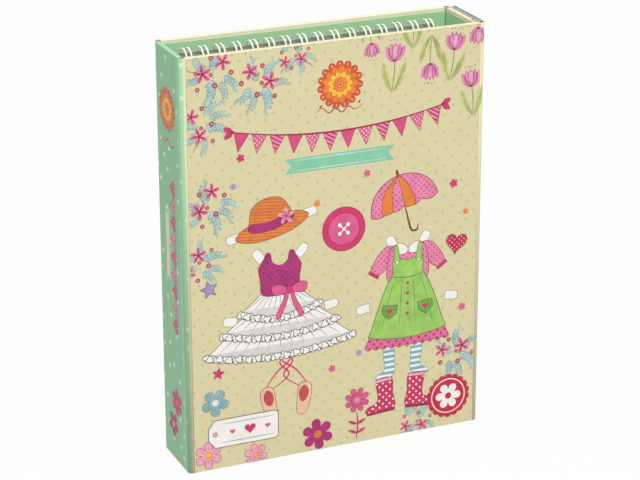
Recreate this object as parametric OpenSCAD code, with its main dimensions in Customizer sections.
/* [Case] */
// Width of the closed case, outside
case_w = 161.5; // [120:0.5:220]
// Depth of the closed case, outside
case_d = 36; // [32:0.5:50]
// Height of the case
case_h = 216; // [195:1:260]

/* [Boards and papers] */
// Thickness of the greyboard in every panel
board_t = 2; // [1.5:0.1:2.4]
// Thickness of the printed wrap paper
wrap_t = 0.18; // [0.12:0.02:0.24]
// Thickness of the plain lining paper
lining_t = 0.14; // [0.08:0.02:0.2]
// Width of the wrap that is turned in over each board's edge
turn_in = 12; // [8:1:20]
// Border of turned-in wrap that the lining leaves bare
lining_margin = 2; // [1.5:0.1:4]
// Reach of each rounded paper crease from its corner
crease_r = 3; // [2.8:0.1:3.6]

/* [Closing flap] */
// Gap between the closed flap and the side wall
flap_gap = 0.9; // [0.6:0.1:1.2]
// How far the flap's end stays short of the back
flap_short = 1.7; // [1:0.1:3]
// Gap between the side wall's end and the front cover
wall_gap = 0.4; // [0.3:0.1:1]
// Diameter of the closing magnets
magnet_d = 10; // [6:1:14]
// Thickness of the closing magnets
magnet_t = 1.2; // [0.8:0.1:1.4]
// Clearance round each magnet in its pocket
magnet_clear = 0.1; // [0.05:0.05:0.2]

/* [Wire binding] */
// Distance from one wire pair to the next
wire_pitch = 8.467; // [6:0.1:10]
// Distance between the two wires of a pair
pair_gap = 2.55; // [2:0.05:3]
// Diameter of the coated wire
wire_d = 0.9; // [0.7:0.1:1]
// Outer diameter of the closed binding
ring_d = 11; // [10.4:0.1:12.5]
// How far the binding stands above the case
ring_rise = 2.5; // [0.5:0.1:4]
// Space between the binding and the front cover
ring_front_gap = 1.25; // [0.5:0.05:2]

/* [Pad] */
// Thickness of one leaf
leaf_t = 0.5; // [0.3:0.05:0.55]
// Air between two leaves
leaf_gap = 0.03; // [0.02:0.01:0.05]
// Thickness of the pad's own cover
pad_cover_t = 0.5; // [0.3:0.05:0.6]
// Thickness of the pad's greyboard backing
backing_t = 1.6; // [1:0.1:1.8]
// Side of the punched square holes
hole_s = 4; // [3.8:0.1:4.4]
// Distance from the last pair's middle to the side of the leaf
pad_margin = 3.9; // [3:0.1:5]
// Height of the leaves' top edge above the binding's middle
pad_over = 1.9; // [0.5:0.1:2.2]

/* [Pockets] */
// Thickness of the folded pocket card
pocket_t = 0.5; // [0.4:0.1:0.8]
// Height of the folded channel that holds the pad
ledge_h = 60; // [30:1:100]
// Height of its glued flange
ledge_flange_h = 40; // [20:1:80]
// Height of the card pocket for dolls and stickers
pocket_h = 70; // [50:1:100]
// Radius of the thumb notch in that pocket
notch_r = 12; // [8:1:18]
// Height of the pencil sleeve
sleeve_h = 90; // [60:1:120]
// Height of every pocket's floor above the case's bottom edge
pocket_lift = 1; // [0.5:0.1:3]

/* [Dolls and stickers] */
// Height of the first doll
doll_one_h = 150; // [120:1:152]
// Height of the second doll
doll_two_h = 142; // [110:1:150]
// Thickness of the dolls' and stands' card
doll_t = 1; // [0.8:0.1:1.2]
// Radius of the half-round doll stands
stand_r = 24; // [18:1:28]
// Depth of the slot in each stand and each doll's base
slot_depth = 6; // [4:0.5:6.5]
// Room beside a sticker sheet in its pocket, at each side
sticker_side = 4.05; // [0.5:0.05:30]
// Height of a sticker sheet
sticker_h = 118; // [80:1:150]
// Thickness of a sticker sheet
sticker_t = 0.3; // [0.2:0.05:0.4]

/* [Pencils] */
// Length of a pencil
pencil_len = 175; // [140:1:185]
// Room left between the front cover and the sleeve of pencils
sleeve_front = 6.6; // [3.5:0.1:8]
// Diameter of the coloured lead
lead_d = 3; // [2:0.1:3.4]
// Length of the sharpened cone
cone_len = 17; // [12:1:22]

/* [Clearances] */
// Clearance round a piece that lifts out
lift_clear = 0.3; // [0.25:0.05:0.4]
// Least space between the pad and the pencil sleeve
swing_gap = 0.9; // [0.8:0.1:2]

/* [Hidden] */
$fn = 48;

cream = [0.87, 0.84, 0.67];
spine_green = [0.56, 0.74, 0.60];
mint = [0.65, 0.86, 0.70];
lining_green = [0.49, 0.73, 0.55];
grey_card = [0.62, 0.60, 0.55];
white_card = [0.95, 0.94, 0.90];
magnet_grey = [0.55, 0.56, 0.58];
pencil_colours = [
    [0.80, 0.16, 0.36], [0.93, 0.47, 0.16], [0.95, 0.80, 0.22],
    [0.45, 0.70, 0.28], [0.25, 0.55, 0.75], [0.52, 0.32, 0.62]
];

// One overrun serves every cut
cut = 1;

// A panel is wrap, board, turned-in wrap and lining on one another
skin_t = 2 * wrap_t + board_t;
panel_t = skin_t + lining_t;
inner_y = wrap_t + board_t;
crease_t = wrap_t + lining_t;

left_x = -case_w / 2;
right_x = case_w / 2;
front_y = -case_d / 2;
back_y = case_d / 2;
spine_in_x = left_x + panel_t;
wall_out_x = right_x - panel_t - flap_gap;
wall_in_x = wall_out_x - panel_t;
front_in_y = front_y + panel_t;
back_in_y = back_y - panel_t;

front_len = case_w - 2 * crease_r;
spine_len = case_d - 2 * crease_r;
back_len = wall_out_x - left_x - 2 * crease_r;
wall_len = back_y - crease_r - front_in_y - wall_gap;
flap_len = case_d - crease_r - flap_short;
magnet_shares = [0.28, 0.72];

// The pencil sleeve fills the strip beside the pad
pencil_cols = 2;
pencil_rows = 3;
pencil_room = back_in_y - front_in_y - sleeve_front - 2 * pocket_t - lift_clear;
pencil_step = pencil_room / pencil_rows;
pencil_d = pencil_step - lift_clear;
sleeve_w = pencil_cols * pencil_step + lift_clear + 2 * pocket_t;
sleeve_d = pencil_rows * pencil_step + lift_clear + 2 * pocket_t;
sleeve_x = wall_in_x - sleeve_w;
sleeve_y = back_in_y - sleeve_d;

// The binding has as many pairs as the width beside the sleeve holds
pad_x = spine_in_x + lift_clear;
pair_room = sleeve_x - swing_gap - pad_x - 2 * pad_margin;
pair_count = floor(pair_room / wire_pitch) + 1;
pad_w = (pair_count - 1) * wire_pitch + 2 * pad_margin;
first_pair_x = pad_x + pad_margin;

leaf_count = 10;
wire_r = wire_d / 2;
ring_r = ring_d / 2 - wire_r;
ring_y = front_in_y + ring_front_gap + ring_d / 2;
ring_z = case_h + ring_rise - ring_d / 2;
leaf_step = leaf_t + leaf_gap;
stack_t = backing_t + pad_cover_t + leaf_gap + leaf_count * leaf_step;
stack_y = ring_y - stack_t / 2;
pad_z = pocket_lift + pocket_t + lift_clear;
pad_top = ring_z + pad_over;
pad_h = pad_top - pad_z;

// The wire crosses the stack between its lowest point and the stack's faces
wire_low = ring_r;
wire_high = sqrt(ring_r * ring_r - stack_t * stack_t / 4);
hole_z = ring_z - (wire_low + wire_high) / 2;

// Angles of the binding about its middle, from the pad's back over the top
base_angle = 195;
wire_sweep = 343;
base_bend = 0.7;
wire_len = ring_r * wire_sweep * PI / 180;
tip_r = pair_gap / 2;
run_rings = 12;
tip_rings = 4;
wire_sides = 6;

// The card pocket holds four layers, counted out from the back lining
layer_one = lift_clear;
layer_two = layer_one + sticker_t + lift_clear;
layer_three = layer_two + sticker_t + lift_clear;
layer_four = layer_three + doll_t + lift_clear;
pocket_d = layer_four + doll_t + lift_clear + pocket_t;
pocket_side = 1.5;
pocket_x = spine_in_x + pocket_side;
pocket_end_x = sleeve_x - pocket_side;
pocket_w = pocket_end_x - pocket_x;
pocket_mid_x = pocket_x + pocket_w / 2;
sticker_w = pocket_w - 2 * pocket_t - 2 * sticker_side;
content_z = pocket_lift + pocket_t + lift_clear;
doll_x = pocket_w / 4;
slot_w = doll_t + lift_clear;
sheet_corner_r = 4;
arc_steps = 12;
head_centre_share = [0, 0.865];
hair_centre_share = [0, 0.875];

pencil_z = pocket_lift + pocket_t + lift_clear;
lead_tip_d = 0.8;

// A flat section along X with round ends where the panel ends free
module section(from_x, to_x, from_y, thick, round_start, round_end) {
    start = from_x + round_start * thick / 2;
    end = to_x - round_end * thick / 2;
    translate([start, from_y])
        square([end - start, thick]);
    if (round_start == 1)
        translate([start, from_y + thick / 2])
            circle(d = thick);
    if (round_end == 1)
        translate([end, from_y + thick / 2])
            circle(d = thick);
}

// Greyboard of a panel: local X runs along it, local Y into the case
module board(len, round_start = 0, round_end = 0) {
    translate([0, 0, wrap_t])
        linear_extrude(case_h - 2 * wrap_t)
            section(round_start * wrap_t, len - round_end * wrap_t, wrap_t, board_t, round_start, round_end);
}

// Printed paper glued over the outer face and turned in round the edges
module wrap(len, round_start = 0, round_end = 0) {
    window_x = round_start * lining_margin - (1 - round_start) * cut;
    window_end = len - round_end * lining_margin + (1 - round_end) * cut;
    difference() {
        linear_extrude(case_h)
            section(0, len, 0, skin_t, round_start, round_end);
        translate([0, 0, wrap_t])
            linear_extrude(case_h - 2 * wrap_t)
                section(
                    round_start * wrap_t - (1 - round_start) * cut,
                    len - round_end * wrap_t + (1 - round_end) * cut,
                    wrap_t, board_t, round_start, round_end
                );
        translate([window_x, inner_y, turn_in])
            cube([window_end - window_x, wrap_t + cut, case_h - 2 * turn_in]);
        if (round_start + round_end == 0)
            translate([-cut, inner_y, turn_in])
                cube([len + 2 * cut, wrap_t + cut, case_h - 2 * turn_in]);
    }
}

// Plain paper over the inner face, which steps up over the turned-in wrap
module lining(len, round_start = 0, round_end = 0) {
    from_x = round_start * lining_margin;
    to_x = len - round_end * lining_margin;
    translate([from_x, 0, 0])
        rotate([90, 0, 90])
            linear_extrude(to_x - from_x)
                polygon([
                    [inner_y, turn_in],
                    [inner_y, case_h - turn_in],
                    [skin_t, case_h - turn_in],
                    [skin_t, case_h - lining_margin],
                    [panel_t, case_h - lining_margin],
                    [panel_t, case_h - turn_in - lining_t],
                    [inner_y + lining_t, case_h - turn_in - lining_t],
                    [inner_y + lining_t, turn_in + lining_t],
                    [panel_t, turn_in + lining_t],
                    [panel_t, lining_margin],
                    [skin_t, lining_margin],
                    [skin_t, turn_in]
                ]);
}

// Rounded paper between two boards, with its round side to +X and -Y
module crease() {
    rotate_extrude(angle = 90)
        translate([crease_r - crease_t, 0])
            square([crease_t, case_h]);
}

module at_front() {
    translate([left_x + crease_r, front_y, 0])
        children();
}

module at_spine() {
    translate([left_x, back_y - crease_r, 0])
        rotate([0, 0, -90])
            children();
}

module at_back() {
    translate([wall_out_x - crease_r, back_y, 0])
        rotate([0, 0, 180])
            children();
}

// The side wall ends free next to the front cover
module at_side_wall() {
    translate([wall_out_x, front_in_y + wall_gap, 0])
        rotate([0, 0, 90])
            children();
}

// The flap ends free next to the back
module at_flap() {
    translate([right_x, front_y + crease_r, 0])
        rotate([0, 0, 90])
            children();
}

module magnet_places(len, from_y) {
    for (share = magnet_shares)
        translate([len / 2, from_y, case_h * share])
            rotate([-90, 0, 0])
                children();
}

module front_board() {
    color(grey_card)
        at_front()
            board(front_len);
}

module front_wrap() {
    color(cream)
        at_front()
            wrap(front_len);
}

module front_lining() {
    color(lining_green)
        at_front()
            lining(front_len);
}

module spine_board() {
    color(grey_card)
        at_spine()
            board(spine_len);
}

module spine_wrap() {
    color(spine_green)
        at_spine()
            wrap(spine_len);
}

module spine_lining() {
    color(lining_green)
        at_spine()
            lining(spine_len);
}

module back_board() {
    color(grey_card)
        at_back()
            board(back_len);
}

module back_wrap() {
    color(cream)
        at_back()
            wrap(back_len);
}

module back_lining() {
    color(lining_green)
        at_back()
            lining(back_len);
}

// The side wall's magnets lie under its outer paper
module side_wall_board() {
    color(grey_card)
        at_side_wall()
            difference() {
                board(wall_len, 1, 0);
                magnet_places(wall_len, wrap_t - cut)
                    cylinder(d = magnet_d + 2 * magnet_clear, h = magnet_t + magnet_clear + cut);
            }
}

module side_wall_wrap() {
    color(cream)
        at_side_wall()
            wrap(wall_len, 1, 0);
}

module side_wall_lining() {
    color(lining_green)
        at_side_wall()
            lining(wall_len, 1, 0);
}

// The flap's magnets lie under its lining
module flap_board() {
    color(grey_card)
        at_flap()
            difference() {
                board(flap_len, 0, 1);
                magnet_places(flap_len, inner_y - magnet_t - magnet_clear)
                    cylinder(d = magnet_d + 2 * magnet_clear, h = magnet_t + magnet_clear + cut);
            }
}

module flap_wrap() {
    color(spine_green)
        at_flap()
            wrap(flap_len, 0, 1);
}

module flap_lining() {
    color(lining_green)
        at_flap()
            lining(flap_len, 0, 1);
}

module front_crease() {
    color(mint)
        translate([left_x + crease_r, front_y + crease_r, 0])
            rotate([0, 0, 180])
                crease();
}

module back_crease() {
    color(mint)
        translate([left_x + crease_r, back_y - crease_r, 0])
            rotate([0, 0, 90])
                crease();
}

module flap_crease() {
    color(cream)
        translate([right_x - crease_r, front_y + crease_r, 0])
            rotate([0, 0, -90])
                crease();
}

module side_wall_crease() {
    color(cream)
        translate([wall_out_x - crease_r, back_y - crease_r, 0])
            crease();
}

module flap_magnets() {
    color(magnet_grey)
        at_flap()
            magnet_places(flap_len, inner_y - magnet_t)
                cylinder(d = magnet_d, h = magnet_t);
}

module side_wall_magnets() {
    color(magnet_grey)
        at_side_wall()
            magnet_places(wall_len, wrap_t)
                cylinder(d = magnet_d, h = magnet_t);
}

// The wire's middle line, unrolled: [place along X, length round the ring]
run_end = wire_len - tip_r;
function up_run(x) = [
    for (i = [0 : run_rings])
        [x, base_bend + (run_end - base_bend) * i / run_rings]
];
function down_run(x) = [
    for (i = [run_rings : -1 : 0])
        [x, base_bend + (run_end - base_bend) * i / run_rings]
];
function tip(x) = [
    for (i = [1 : tip_rings - 1])
        [x - tip_r * cos(180 * i / tip_rings), run_end + tip_r * sin(180 * i / tip_rings)]
];
function bend_in(x) = [
    [x - base_bend, 0],
    [x - base_bend + base_bend * sin(45), base_bend - base_bend * cos(45)]
];
function bend_out(x) = [
    [x + base_bend - base_bend * sin(45), base_bend - base_bend * cos(45)],
    [x + base_bend, 0]
];
function hairpin(x) = concat(
    bend_in(x - tip_r), up_run(x - tip_r), tip(x), down_run(x + tip_r), bend_out(x + tip_r)
);
function wire_path() = [
    for (k = [0 : pair_count - 1])
        for (p = hairpin(first_pair_x + k * wire_pitch))
            p
];

// The unrolled line rolls up round the ring, with six corners about each point
function ring_angle(s) = base_angle - s / ring_r * 180 / PI;
function out_dir(s) = [0, cos(ring_angle(s)), sin(ring_angle(s))];
function along_dir(s) = [0, sin(ring_angle(s)), -cos(ring_angle(s))];
function wire_point(p) = [p.x, ring_y, ring_z] + ring_r * out_dir(p.y);
function heading(path, i) =
    let(step = path[min(i + 1, len(path) - 1)] - path[max(i - 1, 0)])
    step / norm(step);
function wire_ring(path, i) =
    let(p = path[i])
    let(h = heading(path, i))
    let(side = -h.y * [1, 0, 0] + h.x * along_dir(p.y))
    [
        for (a = [0 : wire_sides - 1])
            wire_point(p)
                + wire_r * cos(360 * a / wire_sides) * out_dir(p.y)
                + wire_r * sin(360 * a / wire_sides) * side
    ];

module pad_wire() {
    path = wire_path();
    rings = len(path);
    points = [
        for (i = [0 : rings - 1])
            for (p = wire_ring(path, i))
                p
    ];
    walls = [
        for (i = [0 : rings - 2])
            for (a = [0 : wire_sides - 1])
                let(b = (a + 1) % wire_sides)
                let(low = i * wire_sides)
                let(high = low + wire_sides)
                for (face = [[low + a, low + b, high + b], [low + a, high + b, high + a]])
                    face
    ];
    last = (rings - 1) * wire_sides;
    caps = [
        for (a = [1 : wire_sides - 2])
            for (face = [[0, a + 1, a], [last, last + a, last + a + 1]])
                face
    ];
    color("white")
        polyhedron(points = points, faces = concat(walls, caps));
}

// One punched leaf of the pad, from its face nearest the front cover
module leaf(from_y, thick) {
    difference() {
        translate([pad_x, from_y, pad_z])
            cube([pad_w, thick, pad_h]);
        for (k = [0 : pair_count - 1])
            translate([first_pair_x + k * wire_pitch - hole_s / 2, from_y - cut, hole_z - hole_s / 2])
                cube([hole_s, thick + 2 * cut, hole_s]);
    }
}

module pad_backing() {
    color(grey_card)
        leaf(stack_y, backing_t);
}

module clothes_leaf(number) {
    color(white_card)
        leaf(stack_y + backing_t + leaf_gap + (number - 1) * leaf_step, leaf_t);
}

module pad_cover() {
    color(cream)
        leaf(stack_y + stack_t - pad_cover_t, pad_cover_t);
}

// A folded channel, glued by its flange to the front cover's lining
module pad_ledge() {
    ledge_out = stack_y + stack_t + lift_clear;
    color(white_card)
        translate([pad_x, 0, 0])
            rotate([90, 0, 90])
                linear_extrude(pad_w)
                    polygon([
                        [front_in_y, pocket_lift],
                        [ledge_out + pocket_t, pocket_lift],
                        [ledge_out + pocket_t, pocket_lift + ledge_h],
                        [ledge_out, pocket_lift + ledge_h],
                        [ledge_out, pocket_lift + pocket_t],
                        [front_in_y + pocket_t, pocket_lift + pocket_t],
                        [front_in_y + pocket_t, pocket_lift + ledge_flange_h],
                        [front_in_y, pocket_lift + ledge_flange_h]
                    ]);
}

// A pocket of folded card on the back lining, with a thumb notch
module card_pocket() {
    color(white_card)
        difference() {
            translate([pocket_x, back_in_y - pocket_d, pocket_lift])
                cube([pocket_w, pocket_d, pocket_h]);
            translate([pocket_x + pocket_t, back_in_y - pocket_d + pocket_t, pocket_lift + pocket_t])
                cube([pocket_w - 2 * pocket_t, pocket_d, pocket_h]);
            translate([pocket_mid_x, back_in_y - pocket_d - cut, pocket_lift + pocket_h])
                rotate([-90, 0, 0])
                    cylinder(r = notch_r, h = pocket_t + 2 * cut);
        }
}

module pencil_sleeve() {
    color(white_card)
        difference() {
            translate([sleeve_x, sleeve_y, pocket_lift])
                cube([sleeve_w, sleeve_d, sleeve_h]);
            translate([sleeve_x + pocket_t, sleeve_y + pocket_t, pocket_lift + pocket_t])
                cube([sleeve_w - 2 * pocket_t, sleeve_d - 2 * pocket_t, sleeve_h]);
        }
}

// Points along an arc, so that outlines with many round parts join cleanly
function arc(centre, r, from, to, steps = arc_steps) = [
    for (i = [0 : steps])
        centre + r * [cos(from + (to - from) * i / steps), sin(from + (to - from) * i / steps)]
];

module disc(centre, r) {
    polygon(arc(centre, r, 0, 360 - 180 / arc_steps, 2 * arc_steps - 1));
}

// A straight limb with round ends
module limb(from, to, r) {
    way = to - from;
    turn = atan2(way.y, way.x);
    polygon(concat(arc(to, r, turn - 90, turn + 90), arc(from, r, turn + 90, turn + 270)));
}

module both_sides() {
    children();
    mirror([1, 0])
        children();
}

// Outline of a standing doll, whose points are shares of its height
module doll_figure(h) {
    trunk_shares = [
        [-0.030, 0.80], [-0.030, 0.745], [-0.085, 0.725], [-0.062, 0.58], [-0.085, 0.45],
        [0.085, 0.45], [0.062, 0.58], [0.085, 0.725], [0.030, 0.745], [0.030, 0.80]
    ];
    arm_shares = [[0.072, 0.705], [0.135, 0.585], [0.172, 0.475]];
    leg_shares = [[0.045, 0.46], [0.048, 0.075]];
    shoe_shares = [[0.050, 0.052], [0.078, 0.050]];
    head_share = 0.095;
    sleeve_share = 0.024;
    hand_share = 0.021;
    leg_share = 0.033;
    shoe_share = 0.027;
    polygon(trunk_shares * h);
    disc(head_centre_share * h, head_share * h);
    both_sides() {
        limb(arm_shares[0] * h, arm_shares[1] * h, sleeve_share * h);
        limb(arm_shares[1] * h, arm_shares[2] * h, hand_share * h);
        limb(leg_shares[0] * h, leg_shares[1] * h, leg_share * h);
        limb(shoe_shares[0] * h, shoe_shares[1] * h, shoe_share * h);
    }
}

// The base strip joins the feet and takes the stand's slot
module doll_base(h) {
    base_shares = [0.26, 0.055];
    base_size = base_shares * h;
    difference() {
        translate([-base_size.x / 2, 0])
            square(base_size);
        translate([-slot_w / 2, -cut])
            square([slot_w, slot_depth + cut]);
    }
}

// A round cut with two side buns
module hair_one(h) {
    hair_share = 0.108;
    bun_shares = [0.108, 0.915];
    bun_share = 0.044;
    disc(hair_centre_share * h, hair_share * h);
    for (side = [-1, 1])
        disc([side * bun_shares.x, bun_shares.y] * h, bun_share * h);
}

// A short curly crop
module hair_two(h) {
    crown_share = 0.082;
    curl_share = 0.034;
    curl_angle = 25;
    for (a = [-20 : curl_angle : 205])
        disc((hair_centre_share + crown_share * [cos(a), sin(a)]) * h, curl_share * h);
}

module card_doll(x, h) {
    translate([x, back_in_y - layer_three, content_z])
        rotate([90, 0, 0])
            linear_extrude(doll_t)
                children();
}

module doll_one() {
    color([0.96, 0.82, 0.72])
        card_doll(pocket_mid_x - doll_x, doll_one_h) {
            doll_figure(doll_one_h);
            doll_base(doll_one_h);
            hair_one(doll_one_h);
        }
}

module doll_two() {
    color([0.86, 0.66, 0.50])
        card_doll(pocket_mid_x + doll_x, doll_two_h) {
            doll_figure(doll_two_h);
            doll_base(doll_two_h);
            hair_two(doll_two_h);
        }
}

// A half-round card foot, slotted from its crown
module doll_stand(x) {
    translate([x, back_in_y - layer_four, content_z])
        rotate([90, 0, 0])
            linear_extrude(doll_t)
                difference() {
                    circle(r = stand_r);
                    translate([-stand_r - cut, -stand_r - cut])
                        square([2 * stand_r + 2 * cut, stand_r + cut]);
                    translate([-slot_w / 2, stand_r - slot_depth])
                        square([slot_w, slot_depth + cut]);
                }
}

module doll_stand_one() {
    color(cream)
        doll_stand(pocket_mid_x - doll_x);
}

module doll_stand_two() {
    color(mint)
        doll_stand(pocket_mid_x + doll_x);
}

module sticker_sheet(layer) {
    corner = sheet_corner_r;
    translate([pocket_mid_x - sticker_w / 2, back_in_y - layer, content_z])
        rotate([90, 0, 0])
            linear_extrude(sticker_t) {
                translate([corner, 0])
                    square([sticker_w - 2 * corner, sticker_h]);
                translate([0, corner])
                    square([sticker_w, sticker_h - 2 * corner]);
                for (x = [corner, sticker_w - corner], z = [corner, sticker_h - corner])
                    translate([x, z])
                        circle(r = corner);
            }
}

module sticker_sheet_one() {
    color("white")
        sticker_sheet(layer_two);
}

module sticker_sheet_two() {
    color("white")
        sticker_sheet(layer_one);
}

// Pencils stand in two columns of three, counted from the front left
module at_pencil(number) {
    column = (number - 1) % pencil_cols;
    row = floor((number - 1) / pencil_cols);
    translate([
        sleeve_x + pocket_t + lift_clear + pencil_d / 2 + column * pencil_step,
        sleeve_y + pocket_t + lift_clear + pencil_d / 2 + row * pencil_step,
        pencil_z
    ])
        children();
}

module pencil_barrel(number) {
    shank = pencil_len - cone_len;
    color(pencil_colours[number - 1])
        at_pencil(number)
            difference() {
                intersection() {
                    rotate(30)
                        cylinder(d = pencil_d, h = pencil_len, $fn = 6);
                    union() {
                        cylinder(d = pencil_d + cut, h = shank);
                        translate([0, 0, shank])
                            cylinder(d1 = pencil_d + cut, d2 = lead_tip_d, h = cone_len);
                    }
                }
                translate([0, 0, -cut])
                    cylinder(d = lead_d, h = pencil_len + 2 * cut);
            }
}

module pencil_lead(number) {
    shank = pencil_len - cone_len;
    color(pencil_colours[number - 1])
        at_pencil(number)
            intersection() {
                cylinder(d = lead_d, h = pencil_len);
                union() {
                    cylinder(d = pencil_d + cut, h = shank);
                    translate([0, 0, shank])
                        cylinder(d1 = pencil_d + cut, d2 = lead_tip_d, h = cone_len);
                }
            }
}

front_board();
front_wrap();
front_lining();
spine_board();
spine_wrap();
spine_lining();
back_board();
back_wrap();
back_lining();
side_wall_board();
side_wall_wrap();
side_wall_lining();
flap_board();
flap_wrap();
flap_lining();
front_crease();
back_crease();
flap_crease();
side_wall_crease();
flap_magnets();
side_wall_magnets();
pad_wire();
pad_cover();
pad_backing();
clothes_leaf(1);  // clothes_leaf_1
clothes_leaf(2);  // clothes_leaf_2
clothes_leaf(3);  // clothes_leaf_3
clothes_leaf(4);  // clothes_leaf_4
clothes_leaf(5);  // clothes_leaf_5
clothes_leaf(6);  // clothes_leaf_6
clothes_leaf(7);  // clothes_leaf_7
clothes_leaf(8);  // clothes_leaf_8
clothes_leaf(9);  // clothes_leaf_9
clothes_leaf(10);  // clothes_leaf_10
pad_ledge();
card_pocket();
pencil_sleeve();
doll_one();
doll_two();
doll_stand_one();
doll_stand_two();
sticker_sheet_one();
sticker_sheet_two();
pencil_barrel(1);  // pencil_1_barrel
pencil_lead(1);  // pencil_1_lead
pencil_barrel(2);  // pencil_2_barrel
pencil_lead(2);  // pencil_2_lead
pencil_barrel(3);  // pencil_3_barrel
pencil_lead(3);  // pencil_3_lead
pencil_barrel(4);  // pencil_4_barrel
pencil_lead(4);  // pencil_4_lead
pencil_barrel(5);  // pencil_5_barrel
pencil_lead(5);  // pencil_5_lead
pencil_barrel(6);  // pencil_6_barrel
pencil_lead(6);  // pencil_6_lead
